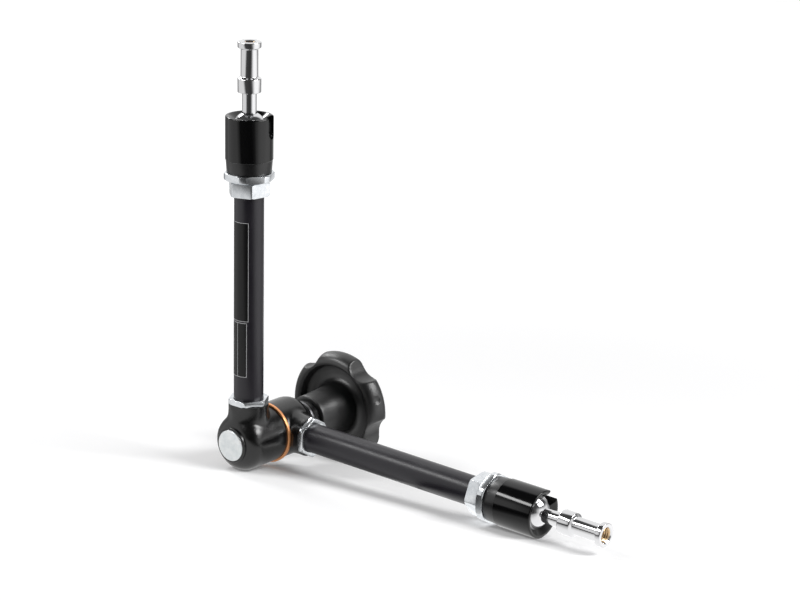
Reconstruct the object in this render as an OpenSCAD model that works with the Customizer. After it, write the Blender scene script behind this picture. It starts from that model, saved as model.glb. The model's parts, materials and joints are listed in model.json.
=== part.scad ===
// Articulating friction arm: two arms on a central elbow, a ball stud in a
// slotted cap at the end of each, and one knob that locks all three joints.
// Lengths are in millimetres. Positions called reach run along an arm from the
// elbow axis, and positions called depth run along the elbow axis.

/* [Arms] */
// Diameter of both arm tubes
tube_d = 20; // [19:0.1:21]
// Wall of the arm tubes
tube_wall = 1.6; // [1.2:0.1:2]
// Length of tube that shows between the two nuts
tube_free = 140.9; // [90:1:200]
// Diameter of the push rods inside the tubes
rod_d = 10; // [8:0.5:11]

/* [Elbow] */
// Diameter of both elbow housings
barrel_d = 39.4; // [39:0.2:42]
// Reach of the end of the housing neck
neck_reach = 26.4; // [25:0.2:30]
// How deep a tube sits in the housing neck
tube_sink = 11.4; // [8:0.1:12]
// Diameter of the end of the housing neck
neck_d = 27.2; // [26:0.2:30]
// Radius of the hollow sweep that runs from the neck into the barrel
neck_sweep = 25; // [20:0.5:30]
// Depth from the upper arm axis to the front of its housing
front_depth = 16; // [15.5:0.1:18]
// Depth from the upper arm axis to its friction face
inner_depth_a = 17.8; // [17:0.1:21]
// Depth from the lower arm axis to its friction face
inner_depth_b = 12.8; // [12:0.1:16]
// Depth from the lower arm axis to the back of its housing
back_depth = 17; // [16.5:0.1:19]
// Radius of the rounding on the outer end of each housing
barrel_round = 10; // [8:0.5:11]
// Height of the boss on the outer end of each housing
boss_h = 1.5; // [1:0.1:3]
// Thickness of the copper friction ring
ring_t = 2.4; // [1.6:0.1:3]
// Height of the friction ring above both housings
ring_lip = 1.2; // [0.2:0.1:1.6]
// Diameter of the pivot register between the housings
register_d = 30; // [29:0.2:31]
// Length of the pivot register
register_len = 6; // [5:0.5:7]
// Thickness of the thin nut on each housing neck
elbow_nut_t = 3.9; // [3:0.1:5]
// Width across the flats of the thin nut
elbow_nut_flats = 24.8; // [24:0.2:26]

/* [Clamp] */
// Largest diameter of the wedge cones
cone_d = 23.6; // [23:0.1:24]
// Slope of the wedge cones in degrees
cone_slope = 20; // [17:1:22]
// Length of each wedge cone
cone_len = 16; // [15:0.5:17]
// Diameter of a cone where its push rod bears
cone_seat_d = 17; // [16.6:0.1:17.4]
// Diameter of the draw bolt shank
bolt_d = 8; // [7:0.5:8.5]
// Diameter of the bolt head
head_d = 21.4; // [21:0.2:22.4]
// Height of the bolt head in front of the boss
head_rise = 1.5; // [0.8:0.1:3]
// Diameter of the black thrust sleeve
sleeve_d = 25; // [24.6:0.1:25.4]
// Thickness of the chrome guide ring
guide_t = 2.1; // [1.5:0.1:3]
// Diameter of the chrome guide ring
guide_d = 27.4; // [27:0.2:30]
// Wire diameter of the release spring
spring_wire = 1.4; // [1:0.1:1.6]
// Number of turns in the release spring
spring_turns = 5; // [3:0.5:7]

/* [Knob] */
// Gap along the axis from the guide ring to the knob hub
knob_gap = 6.2; // [3:0.1:10]
// Depth of the knob from the hub face to its back
knob_len = 42.6; // [38:0.2:52]
// Diameter of the knob hub at its face
hub_d = 30.6; // [29:0.2:34]
// Largest diameter over the knob lobes
lobe_d = 78; // [70:0.5:84]
// Number of lobes
lobes = 5; // [3:1:7]
// Radius of the finger hollows between lobes
hollow_r = 12; // [11:0.5:18]
// Depth of the finger hollows
hollow_cut = 6.25; // [3:0.25:8]
// Depth of the lobed rim from its front to the back of the knob
rim_len = 16.4; // [15:0.1:22]
// Width of the rim from the dish to the lobes
rim_width = 9; // [8:0.5:11]
// Angle of one finger hollow, turned from level towards the upper arm
hollow_turn = 53; // [48:1:60]

/* [Ball ends] */
// Diameter of the ball on each stud
ball_d = 24; // [23:0.1:24.4]
// Clearance between a ball and its seats
ball_gap = 0.15; // [0.1:0.05:0.25]
// Diameter of the ball caps
cap_d = 32; // [31.4:0.1:32.4]
// Length of the ball caps
cap_len = 37.7; // [36:0.1:42]
// Length of the slimmer tapered foot of the cap
cap_taper_len = 8.8; // [5:0.1:10]
// Depth of the ball centre below the rim of the cap
ball_sink = 9.4; // [9:0.1:10]
// Width of the slot that lets the stud fold down
slot_w = 11; // [10.6:0.1:12]
// How far the end of a tube sits in the socket adaptor
adaptor_sink = 12; // [8:0.1:16]
// How far the thread of the adaptor ends below the ball centre
thread_drop = 18; // [16:0.1:20]
// Height of the hexagon of the socket adaptor
adaptor_t = 9.5; // [8:0.1:12]
// Width across the flats of the socket adaptor
adaptor_flats = 25.4; // [25:0.2:27]
// Thickness of the lock nut below the cap
cap_nut_t = 5; // [4:0.1:6]
// Width across the flats of the lock nut
cap_nut_flats = 31.5; // [31:0.1:32]
// Diameter over the trimmed corners of the lock nut
cap_nut_corners = 34; // [33:0.2:35]
// Diameter of the adaptor thread that carries the cap
socket_thread_d = 26; // [25.6:0.1:27]

/* [Studs] */
// Diameter of the mounting spigot, the common 16 mm kind
spigot_d = 15.9; // [15:0.1:16]
// Distance from the ball centre to the lower collar
stud_neck_len = 25; // [22:0.5:30]
// Diameter of the neck above the ball
stud_neck_d = 9.8; // [9:0.1:10]
// Length of the lower collar
collar_len = 10.5; // [6:0.5:14]
// Length of the waist between collar and flange
waist_len = 19.5; // [14:0.5:24]
// Diameter of the waist
waist_d = 11.8; // [11.6:0.1:13]
// Thickness of the end flange
flange_t = 3.5; // [2.5:0.1:5]
// Tapping drill diameter of the quarter inch thread
small_thread_d = 5.1; // [4.9:0.1:5.4]
// Depth of the quarter inch thread
small_thread_len = 12; // [8:0.5:16]
// Tapping drill diameter of the three eighths inch thread
large_thread_d = 8; // [7.8:0.1:8.2]
// Depth of the three eighths inch thread
large_thread_len = 14; // [8:0.5:18]

/* [Pose at rest] */
// Lean of the upper arm away from square to the elbow
upper_lean = 1.4; // [0:0.1:6]
// Direction of the upper slot, turned from level towards the knob
slot_turn_a = 24.5; // [10:0.5:80]
// Direction of the lower slot, turned from level towards the knob
slot_turn_b = 135; // [100:1:160]

/* [Hidden] */
$fn = 72;

// Clearances
fit_gap = 0.05;
slide_gap = 0.1;
free_gap = 0.3;
face_gap = 0.1;
eps = 0.01;

// Elbow stack, in depth from the upper arm axis
arm_offset = inner_depth_a + ring_t + inner_depth_b;
barrel_r = barrel_d / 2;
neck_r = neck_d / 2;
head_front = front_depth + boss_h + head_rise;
ring_r = barrel_r + ring_lip;
cone_r = cone_d / 2;
cone_rise = tan(cone_slope);
cone_bore_r = cone_r + free_gap;
// Distance from an arm axis to the wide end of its cone
cone_back = (cone_r - cone_seat_d / 2) / cone_rise;
cone_tip_r = cone_r - cone_len * cone_rise;
head_r = head_d / 2;
head_bore_r = head_r + free_gap;
cone_pocket = cone_back + 1.6;
sleeve_r = sleeve_d / 2;
sleeve_bore_r = sleeve_r + slide_gap;
guide_start = arm_offset + back_depth + boss_h;
hub_face = guide_start + guide_t + knob_gap;
register_r = register_d / 2;
boss_front_r = head_bore_r + 1.2;
boss_back_r = sleeve_bore_r + 0.9;

// Reaches along an arm
tube_r = tube_d / 2;
tube_bore_r = tube_r - tube_wall;
rod_r = rod_d / 2;
rod_bore_r = rod_r + slide_gap;
tube_start = neck_reach - tube_sink;
adaptor_start = neck_reach + elbow_nut_t + tube_free;
adaptor_end = adaptor_start + adaptor_t;
nut_start = adaptor_end + 1;
cap_start = nut_start + cap_nut_t + face_gap;
rim_reach = cap_start + cap_len;
ball_reach = rim_reach - ball_sink;
tube_end = adaptor_start + adaptor_sink;
socket_r = socket_thread_d / 2;
ball_r = ball_d / 2;
cavity_r = ball_r + ball_gap;
cap_r = cap_d / 2;
cap_foot_r = cap_r - 1;
rim_round = 0.8;
thread_top = ball_reach - thread_drop;
cup_start = thread_top + 2;
cup_end = ball_reach - 8;
cup_r = cavity_r - slide_gap;
rod_tip_r = rod_r;
// The round tip of a rod bears on its cone through a small film gap
rod_tip_reach = cone_seat_d / 2 + (rod_tip_r + fit_gap) / cos(cone_slope);

// Studs
spigot_r = spigot_d / 2;
stud_neck_r = stud_neck_d / 2;
waist_r = waist_d / 2;
edge = 0.5;
tip_reach = ball_reach + stud_neck_len + collar_len + waist_len + flange_t;

// Knob
lobe_r = lobe_d / 2;
hollow_axis = lobe_r - hollow_cut + hollow_r;
knob_back = hub_face + knob_len;
rim_front = knob_back - rim_len;
lobe_depth = knob_back - 0.42 * rim_len;
dish_depth = knob_back - 0.8 * rim_len;
hub_r = hub_d / 2;
hub_rise = dish_depth - hub_face;
dish_r = lobe_r - rim_width;
insert_r = 7;
insert_len = 18;
insert_start = hub_face + 6;
bolt_end = insert_start + insert_len + 4;
cap_sink = 2.4;
plug_r = 12.2;
// Outer curve of the rim, as [radius, depth] from its front crest to its back
crest_in = 6.5;
back_in = 6;
rim_curve = concat(
    [for (a = [-90:10:-10]) [lobe_r - crest_in * (1 - cos(a)), lobe_depth + (lobe_depth - rim_front) * sin(a)]],
    [for (a = [0:10:90]) [lobe_r - back_in * (1 - cos(a)), lobe_depth + (knob_back - lobe_depth) * sin(a)]]);
lobe_pitch = 360 / lobes;
// Half of the angle that a hollow takes out of the circle with a given radius
function hollow_half(r) = r <= hollow_axis - hollow_r ? 0 :
    acos((pow(r, 2) + pow(hollow_axis, 2) - pow(hollow_r, 2)) / (2 * r * hollow_axis));
// Angle from a given direction to the middle of the nearest hollow
function hollow_off(turn) = let (over = ((turn - hollow_turn) % lobe_pitch + lobe_pitch) % lobe_pitch)
    min(over, lobe_pitch - over);
// How far the knob reaches in a given direction on the circle with a given radius
function lobe_reach(r, turn) = r * cos(max(0, hollow_half(r) - hollow_off(turn)));

// Rest: the front housing, one lobe and the rim of the lower cap touch the floor
housing_axis_r = barrel_r - barrel_round;
housing_depth = -(front_depth - barrel_round);
function housing_low(t) = housing_depth * sin(t) - housing_axis_r * cos(t) - barrel_round;
function lobe_low(t) = min([for (p = rim_curve) p[1] * sin(t) - lobe_reach(p[0], 270) * cos(t)]);
function find_lean(low, high, steps) = steps == 0 ? (low + high) / 2 :
    lobe_low((low + high) / 2) < housing_low((low + high) / 2) ?
    find_lean((low + high) / 2, high, steps - 1) : find_lean(low, (low + high) / 2, steps - 1);
lean = find_lean(0, 30, 40);
lift = -housing_low(lean);
rim_corner_reach = rim_reach - rim_round;
rim_corner_r = cap_r - rim_round;
function rim_low(b) = lift + arm_offset * sin(lean) - rim_corner_reach * sin(b) * cos(lean)
    - rim_corner_r * sqrt(1 - pow(sin(b) * cos(lean), 2)) - rim_round;
function find_dip(low, high, steps) = steps == 0 ? (low + high) / 2 :
    rim_low((low + high) / 2) > 0 ?
    find_dip((low + high) / 2, high, steps - 1) : find_dip(low, (low + high) / 2, steps - 1);
dip = find_dip(-10, 20, 40);

// Middle of the outer box, which carries the origin
upper_dir_y = -sin(lean) * cos(upper_lean);
x_low = -max([for (p = rim_curve) lobe_reach(p[0], 180)]);
x_high = tip_reach * cos(dip) + (spigot_r - edge) * sin(dip);
y_low = (tip_reach - edge) * upper_dir_y - spigot_r * sqrt(1 - pow(upper_dir_y, 2));
y_high = max([for (p = rim_curve) p[1] * cos(lean) + lobe_reach(p[0], 270) * sin(lean)]);
mid_x = (x_low + x_high) / 2;
mid_y = (y_low + y_high) / 2;

// Places
module at_rest() {
    translate([-mid_x, -mid_y, lift]) rotate([lean, 0, 0]) children();
}
module on_upper() {
    at_rest() rotate([0, upper_lean, 0]) children();
}
module on_lower() {
    at_rest() translate([0, arm_offset, 0]) rotate([0, 90 + dip, 0]) children();
}
// Puts a shape that stands on +Z onto the elbow axis
module on_elbow() {
    at_rest() rotate([-90, 0, 0]) children();
}

// Shared shapes
module hex_bar(flats, h, corners) {
    intersection() {
        cylinder(d = flats / cos(30), h = h, $fn = 6);
        rotate_extrude() polygon([[0, 0], [corners / 2 - 0.9, 0], [corners / 2, 0.7],
            [corners / 2, h - 0.7], [corners / 2 - 0.9, h], [0, h]]);
    }
}
module bore(r, h, base = 0) {
    translate([0, 0, base]) cylinder(r = r, h = h);
}

// Elbow housings, each in its own arm's frame with the outer end towards +Y
module barrel_profile(outer, inner, boss_r) {
    break_edge = 0.6;
    round_axis = outer - barrel_round;
    polygon([[0, -inner], [barrel_r - break_edge, -inner], [barrel_r, break_edge - inner],
        [barrel_r, round_axis], [barrel_r - barrel_round, outer], [0, outer]]);
    intersection() {
        translate([barrel_r - barrel_round, round_axis]) circle(r = barrel_round);
        translate([0, -inner]) square([barrel_r, outer + inner]);
    }
    // The boss is carried down to where the rounding starts, so that it stands on any barrel
    translate([0, round_axis]) square([boss_r, barrel_round + boss_h]);
}
// The sweep runs almost smoothly into the barrel on both sides of the neck
sweep_bite = 0.5;
sweep_axis = neck_r + neck_sweep;
sweep_top = min(neck_reach - 1.5, sqrt(pow(barrel_r + neck_sweep - sweep_bite, 2) - pow(sweep_axis, 2)));
sweep_foot = 0.8 * neck_r + 0.3 * barrel_r;
module neck_profile() {
    break_edge = 0.6;
    difference() {
        polygon([[0, 0], [sweep_foot, 0], [sweep_foot, sweep_top], [neck_r, sweep_top],
            [neck_r, neck_reach - break_edge], [neck_r - break_edge, neck_reach], [0, neck_reach]]);
        translate([sweep_axis, sweep_top]) circle(r = neck_sweep, $fn = 144);
    }
}
// Side view of the neck, which leans from its top out to the end of the barrel
module neck_limit(outer, inner) {
    end_wall = outer - 1;
    polygon([[-inner, 0], [end_wall, 0], [end_wall, barrel_r - 0.55 * barrel_round], [neck_r, sweep_top - 1],
        [neck_r + 1, neck_reach + 1], [-inner, neck_reach + 1]]);
}
module housing_body(outer, inner, boss_r) {
    rotate([-90, 0, 0]) rotate_extrude() barrel_profile(outer, inner, boss_r);
    intersection() {
        rotate_extrude() neck_profile();
        rotate([90, 0, 90]) linear_extrude(2 * barrel_r, center = true) neck_limit(outer, inner);
    }
}
module neck_bores() {
    bore(rod_bore_r, neck_reach + 1);
    bore(tube_r + fit_gap, neck_reach, tube_start);
}

module housing_a() {
    color([0.07, 0.07, 0.08]) on_upper() mirror([0, 1, 0]) difference() {
        housing_body(front_depth, inner_depth_a, boss_front_r);
        neck_bores();
        rotate([-90, 0, 0]) {
            bore(head_bore_r, front_depth + boss_h + 1);
            bore(cone_bore_r, inner_depth_a + cone_pocket + 1, -inner_depth_a - 1);
            bore(register_r, register_len + 1, -inner_depth_a - 1);
        }
    }
}
module housing_b() {
    register_front = inner_depth_b + ring_t + register_len - free_gap;
    color([0.07, 0.07, 0.08]) on_lower() difference() {
        union() {
            housing_body(back_depth, inner_depth_b, boss_back_r);
            rotate([-90, 0, 0])
                bore(register_r - fit_gap, register_front, -register_front);
        }
        neck_bores();
        rotate([-90, 0, 0]) {
            bore(cone_bore_r, register_front + cone_back + 1, -register_front - 1);
            bore(sleeve_bore_r, back_depth + boss_h, cone_back - 0.5);
        }
    }
}
module friction_ring() {
    color([0.72, 0.36, 0.18]) on_elbow() difference() {
        translate([0, 0, inner_depth_a]) cylinder(r = ring_r, h = ring_t);
        bore(register_r + fit_gap, ring_t + 2, inner_depth_a - 1);
    }
}
module elbow_nut() {
    translate([0, 0, neck_reach]) difference() {
        hex_bar(elbow_nut_flats, elbow_nut_t, elbow_nut_flats * 1.137);
        bore(tube_r + fit_gap, elbow_nut_t + 2, -1);
    }
}
module elbow_nut_a() {
    color([0.8, 0.8, 0.82]) on_upper() elbow_nut();
}
module elbow_nut_b() {
    color([0.8, 0.8, 0.82]) on_lower() elbow_nut();
}

// Arm tubes
module tube() {
    translate([0, 0, tube_start]) difference() {
        cylinder(r = tube_r, h = tube_end - tube_start);
        bore(tube_bore_r, tube_end, -1);
    }
}
module tube_a() {
    color([0.13, 0.12, 0.15]) on_upper() tube();
}
module tube_b() {
    color([0.13, 0.12, 0.15]) on_lower() tube();
}

// Clamp: the bolt draws two cones together, and each cone lifts a push rod
module wedge_cone() {
    difference() {
        rotate_extrude() polygon([[bolt_d / 2 + fit_gap, 0], [cone_r, 0], [cone_tip_r, cone_len],
            [bolt_d / 2 + fit_gap, cone_len]]);
        bore(bolt_d / 2 + fit_gap, cone_len + 2, -1);
    }
}
module wedge_cone_a() {
    color([0.66, 0.64, 0.6]) on_elbow() translate([0, 0, -cone_back]) wedge_cone();
}
module wedge_cone_b() {
    color([0.66, 0.64, 0.6]) on_elbow() translate([0, 0, arm_offset + cone_back])
        mirror([0, 0, 1]) wedge_cone();
}
module tension_bolt() {
    dome_r = 90;
    color([0.82, 0.82, 0.8]) on_elbow() {
        intersection() {
            translate([0, 0, -head_front]) cylinder(r = head_r, h = head_front - cone_back);
            translate([0, 0, dome_r - head_front]) sphere(r = dome_r, $fn = 120);
        }
        translate([0, 0, -cone_back - 1]) cylinder(d = bolt_d, h = bolt_end + cone_back + 1);
    }
}
coil_r = (bolt_d / 2 + cone_tip_r) / 2 + 0.1;
coil_start = cone_len - cone_back + 0.15;
coil_end = arm_offset - coil_start;
coil_sides = 8;
coil_steps = 24;
coil_rings = floor(spring_turns * coil_steps);
coil_climb = (coil_end - coil_start - spring_wire) / coil_rings;
function coil_point(ring, side) = let (around = ring * 360 / coil_steps, about = side * 360 / coil_sides,
    r = coil_r + spring_wire / 2 * cos(about))
    [r * cos(around), r * sin(around), coil_start + spring_wire / 2 * (1 + sin(about)) + ring * coil_climb];
module release_spring() {
    points = [for (ring = [0:coil_rings], side = [0:coil_sides - 1]) coil_point(ring, side)];
    walls = [for (ring = [0:coil_rings - 1], side = [0:coil_sides - 1])
        let (next = (side + 1) % coil_sides, base = ring * coil_sides)
        [base + side, base + coil_sides + side, base + coil_sides + next, base + next]];
    first_end = [for (side = [0:coil_sides - 1]) side];
    last_end = [for (side = [0:coil_sides - 1]) coil_rings * coil_sides + coil_sides - 1 - side];
    color([0.6, 0.6, 0.62]) on_elbow() polyhedron(points, concat([first_end], walls, [last_end]));
}
module guide_ring() {
    color([0.85, 0.85, 0.86]) on_elbow() difference() {
        translate([0, 0, guide_start]) rotate_extrude()
            polygon([[0, 0], [guide_d / 2 - 0.3, 0], [guide_d / 2, 0.3], [guide_d / 2, guide_t - 0.5],
            [guide_d / 2 - 0.5, guide_t], [0, guide_t]]);
        bore(sleeve_bore_r, guide_t + 2, guide_start - 1);
    }
}
module thrust_sleeve() {
    sleeve_start = arm_offset + cone_back;
    color([0.08, 0.08, 0.09]) on_elbow() difference() {
        translate([0, 0, sleeve_start]) cylinder(r = sleeve_r, h = hub_face + 1 - sleeve_start);
        bore(bolt_d / 2 + free_gap, hub_face + 2, sleeve_start - 1);
    }
}

// Knob
module knob_profile() {
    polygon(concat([[0, hub_face + 1], [hub_r - 2.4, hub_face + 1], [hub_r - 2.2, hub_face],
        [hub_r - 0.5, hub_face], [hub_r, hub_face + 0.5], [hub_r + 0.2, hub_face + 0.3 * hub_rise],
        [hub_r + 0.9, hub_face + 0.6 * hub_rise], [hub_r + 2.3, dish_depth - 3],
        [hub_r + 4.6, dish_depth - 0.7], [hub_r + 7, dish_depth], [dish_r - 3, dish_depth],
        [dish_r - 0.8, dish_depth - 0.8], [dish_r, dish_depth - 2], [dish_r + 0.2, rim_front + 3.2],
        [dish_r + 0.7, rim_front + 1.3], [dish_r + 1.5, rim_front + 0.3]],
        rim_curve, [[0, knob_back]]));
}
module knob() {
    dimple_turn = 18;
    dimple_r = 7;
    dimple_deep = 0.6;
    color([0.1, 0.1, 0.11]) on_elbow() difference() {
        rotate_extrude() knob_profile();
        for (turn = [0:lobe_pitch:359]) rotate(-hollow_turn - turn) translate([hollow_axis, 0, 0])
            bore(hollow_r, knob_len, rim_front - 1);
        bore(bolt_d / 2 + free_gap, knob_len + 2, hub_face - 1);
        bore(insert_r, insert_len + eps, insert_start);
        bore(plug_r + slide_gap, knob_len, knob_back - cap_sink);
        rotate(-dimple_turn) translate([lobe_r - 1 - dimple_deep + dimple_r, 0, lobe_depth - 5])
            sphere(r = dimple_r, $fn = 48);
    }
}
module knob_insert() {
    groove = 0.8;
    color([0.78, 0.6, 0.3]) on_elbow() translate([0, 0, insert_start]) difference() {
        cylinder(r = insert_r - fit_gap, h = insert_len);
        bore(bolt_d / 2 + fit_gap, insert_len + 2, -1);
        for (reach = [5, 11]) translate([0, 0, reach]) difference() {
            cylinder(r = insert_r + 1, h = 2 * groove);
            cylinder(r = insert_r - groove, h = 2 * groove);
        }
    }
}
module knob_cap() {
    proud = 0.3;
    color([0.1, 0.1, 0.11]) on_elbow() translate([0, 0, knob_back - cap_sink]) rotate_extrude()
        polygon([[0, 0], [plug_r, 0], [plug_r, cap_sink - proud], [plug_r - 2 * proud, cap_sink + proud],
            [0, cap_sink + proud]]);
}

// Push rods and pressure cups
module push_rod() {
    translate([0, 0, rod_tip_reach]) {
        cylinder(r = rod_r, h = cup_start - rod_tip_reach);
        sphere(r = rod_tip_r);
    }
}
module push_rod_a() {
    color([0.7, 0.7, 0.72]) on_upper() push_rod();
}
module push_rod_b() {
    color([0.7, 0.7, 0.72]) on_lower() push_rod();
}
module pressure_cup() {
    difference() {
        translate([0, 0, cup_start]) cylinder(r = cup_r, h = cup_end - cup_start);
        translate([0, 0, ball_reach]) sphere(r = cavity_r, $fn = 96);
    }
}
module pressure_cup_a() {
    color([0.75, 0.7, 0.55]) on_upper() pressure_cup();
}
module pressure_cup_b() {
    color([0.75, 0.7, 0.55]) on_lower() pressure_cup();
}

// Socket adaptor, lock nut and ball cap
module socket_adaptor() {
    difference() {
        union() {
            translate([0, 0, adaptor_start]) hex_bar(adaptor_flats, adaptor_t, adaptor_flats / cos(30) + 0.1);
            bore(socket_r - 0.8, 2, adaptor_end - eps);
            bore(socket_r - fit_gap, thread_top - nut_start, nut_start);
        }
        bore(tube_r + fit_gap, tube_end - adaptor_start + 1, adaptor_start - 1);
        bore(rod_bore_r, thread_top, adaptor_start);
    }
}
module socket_adaptor_a() {
    color([0.82, 0.82, 0.84]) on_upper() rotate(20) socket_adaptor();
}
module socket_adaptor_b() {
    color([0.82, 0.82, 0.84]) on_lower() rotate(38) socket_adaptor();
}
module cap_lock_nut() {
    translate([0, 0, nut_start]) difference() {
        hex_bar(cap_nut_flats, cap_nut_t, cap_nut_corners);
        bore(socket_r, cap_nut_t + 2, -1);
    }
}
module cap_lock_nut_a() {
    color([0.82, 0.82, 0.84]) on_upper() rotate(-3) cap_lock_nut();
}
module cap_lock_nut_b() {
    color([0.82, 0.82, 0.84]) on_lower() cap_lock_nut();
}
module ball_cap() {
    lip_reach = ball_reach + 6.6;
    lip_r = sqrt(pow(cavity_r, 2) - pow(lip_reach - ball_reach, 2));
    mouth_r = cap_r - 1.7;
    difference() {
        rotate_extrude() {
            polygon([[0, cap_start], [cap_foot_r - 0.5, cap_start], [cap_foot_r, cap_start + 0.5],
                [cap_r, cap_start + cap_taper_len], [cap_r, rim_reach - rim_round],
                [cap_r - rim_round, rim_reach], [0, rim_reach]]);
            translate([cap_r - rim_round, rim_reach - rim_round]) circle(r = rim_round);
        }
        bore(socket_r, thread_top + 1 - cap_start, cap_start - 1);
        bore(socket_r, 2, thread_top - 1);
        bore(cavity_r, ball_reach - thread_top, thread_top);
        translate([0, 0, ball_reach]) sphere(r = cavity_r, $fn = 96);
        translate([0, 0, lip_reach - eps])
            cylinder(r1 = lip_r, r2 = mouth_r + 0.2, h = rim_reach - lip_reach + 0.2);
        translate([0, -slot_w / 2, ball_reach]) cube([cap_r + 1, slot_w, ball_sink + 1]);
        translate([0, 0, ball_reach]) rotate([0, 90, 0]) cylinder(d = slot_w, h = cap_r + 1);
    }
}
module ball_cap_a() {
    color([0.05, 0.05, 0.05]) on_upper() rotate(slot_turn_a) ball_cap();
}
module ball_cap_b() {
    color([0.05, 0.05, 0.05]) on_lower() rotate(slot_turn_b) ball_cap();
}

// Studs: ball, neck and spigot turned in one piece
module ball_stud(hole_d, hole_len) {
    collar = ball_reach + stud_neck_len;
    waist = collar + collar_len;
    flange = waist + waist_len;
    shoulder = 1.2;
    difference() {
        union() {
            translate([0, 0, ball_reach]) sphere(r = ball_r, $fn = 96);
            rotate_extrude() polygon([[0, ball_reach], [stud_neck_r, ball_reach], [stud_neck_r, collar - 1],
                [stud_neck_r + 0.8, collar], [spigot_r - edge, collar], [spigot_r, collar + edge],
                [spigot_r, waist - shoulder], [waist_r, waist], [waist_r, flange - shoulder],
                [spigot_r - edge, flange - edge], [spigot_r, flange], [spigot_r, tip_reach - edge],
                [spigot_r - edge, tip_reach], [0, tip_reach]]);
        }
        bore(hole_d / 2, hole_len + 1, tip_reach - hole_len);
        translate([0, 0, tip_reach - 0.8]) cylinder(r1 = hole_d / 2, r2 = hole_d / 2 + 1, h = 1);
    }
}
module ball_stud_a() {
    color([0.85, 0.85, 0.86]) on_upper() ball_stud(small_thread_d, small_thread_len);
}
module ball_stud_b() {
    color([0.85, 0.85, 0.86]) on_lower() ball_stud(large_thread_d, large_thread_len);
}

housing_a();
housing_b();
friction_ring();
elbow_nut_a();
elbow_nut_b();
tube_a();
tube_b();
tension_bolt();
wedge_cone_a();
wedge_cone_b();
release_spring();
guide_ring();
thrust_sleeve();
knob();
knob_insert();
knob_cap();
push_rod_a();
push_rod_b();
pressure_cup_a();
pressure_cup_b();
socket_adaptor_a();
socket_adaptor_b();
cap_lock_nut_a();
cap_lock_nut_b();
ball_cap_a();
ball_cap_b();
ball_stud_a();
ball_stud_b();
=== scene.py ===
# %% [markdown]
# A friction arm for cameras: two tubes on an elbow, a ball stud at each end, one knob that locks it all.
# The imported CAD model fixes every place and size. This script only dresses it: it remakes the cast,
# moulded and turned parts finely enough for close light, softens the edges of the rest, and gives each
# piece its own finish. Sizes of pieces are in millimetres, and the studio round them is in metres.

# %% Load the frame
import json
import math

import bmesh
import bpy
from mathutils import Matrix, Vector


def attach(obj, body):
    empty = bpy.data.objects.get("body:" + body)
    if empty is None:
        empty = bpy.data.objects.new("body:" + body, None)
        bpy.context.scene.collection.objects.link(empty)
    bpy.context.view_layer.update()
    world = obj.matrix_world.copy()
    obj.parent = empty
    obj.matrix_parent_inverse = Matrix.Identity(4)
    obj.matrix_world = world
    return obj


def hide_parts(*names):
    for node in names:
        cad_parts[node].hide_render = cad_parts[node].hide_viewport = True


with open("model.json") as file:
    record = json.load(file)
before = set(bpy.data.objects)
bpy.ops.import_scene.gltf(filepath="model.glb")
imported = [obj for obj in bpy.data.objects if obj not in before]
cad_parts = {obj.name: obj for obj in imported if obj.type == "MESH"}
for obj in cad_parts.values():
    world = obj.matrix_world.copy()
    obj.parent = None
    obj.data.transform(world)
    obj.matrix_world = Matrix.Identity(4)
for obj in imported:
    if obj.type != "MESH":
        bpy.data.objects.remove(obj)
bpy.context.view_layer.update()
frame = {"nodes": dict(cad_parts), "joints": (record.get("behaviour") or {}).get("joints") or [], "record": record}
joints = {joint["name"]: joint for joint in frame["joints"]}
MM = 0.001

# %% [markdown]
# Three local frames keep the modelling simple. In an arm's frame Z runs along the arm from the elbow
# axis, and in the elbow's frame Z runs along the elbow axis. A piece is modelled in one of them, and its
# mesh is then carried into the shared frame, so its object stays at the origin. The joints of the packed
# record say where these frames are.

# %% Local frames
def joint_axis(name):
    return Vector(joints[name]["axis"]).normalized()


def joint_place(name):
    return Vector(joints[name]["pos_m"])


def basis(origin, x, y, z):
    turn = Matrix((x, y, z)).transposed().to_4x4()
    return Matrix.Translation(origin) @ turn


PIVOT = joint_axis("elbow")
ELBOW = joint_place("elbow")
LEVEL = Vector((1, 0, 0))
UPRIGHT = LEVEL.cross(PIVOT)
BALL_REACH = (joint_place("stud_tilt_a") - ELBOW).length / MM


def arm_frame(end):
    along = joint_axis("cap_turn_" + end)
    start = joint_place("stud_tilt_" + end) - along * BALL_REACH * MM
    return basis(start, PIVOT.cross(along), PIVOT, along)


ARM = {end: arm_frame(end) for end in "ab"}
AXLE = basis(ELBOW, LEVEL, PIVOT.cross(LEVEL), PIVOT)
print("ball centres", round(BALL_REACH, 2), "mm from the elbow axis")

# %% [markdown]
# The camera looks down on the elbow from the front, with a long lens, as a product photographer would
# stand. Its turn and pitch are angles in the elbow's level plane, which leans a few degrees back on the
# real floor, because the arm rests on its knob. That gives the picture its slight roll.

# %% Camera
CAMERA_TURN = math.radians(39.51)
CAMERA_PITCH = math.radians(15.99)
CAMERA_FROM_ELBOW = (1.1830, -1.2733, 0.5951)
CAMERA_LENS = 121.7


def make_camera():
    data = bpy.data.cameras.new("camera")
    data.lens = CAMERA_LENS
    data.sensor_width = 36
    data.clip_end = 60
    camera = bpy.data.objects.new("camera", data)
    bpy.context.scene.collection.objects.link(camera)
    turn = Matrix.Rotation(CAMERA_TURN, 4, "Z") @ Matrix.Rotation(math.pi / 2 - CAMERA_PITCH, 4, "X")
    level_frame = basis(ELBOW, LEVEL, PIVOT, UPRIGHT)
    camera.matrix_world = level_frame @ Matrix.Translation(CAMERA_FROM_ELBOW) @ turn
    bpy.context.scene.camera = camera
    return camera


camera = make_camera()
bpy.context.scene.view_settings.view_transform = "Standard"
print("camera at", [round(c, 3) for c in camera.matrix_world.translation])

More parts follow.
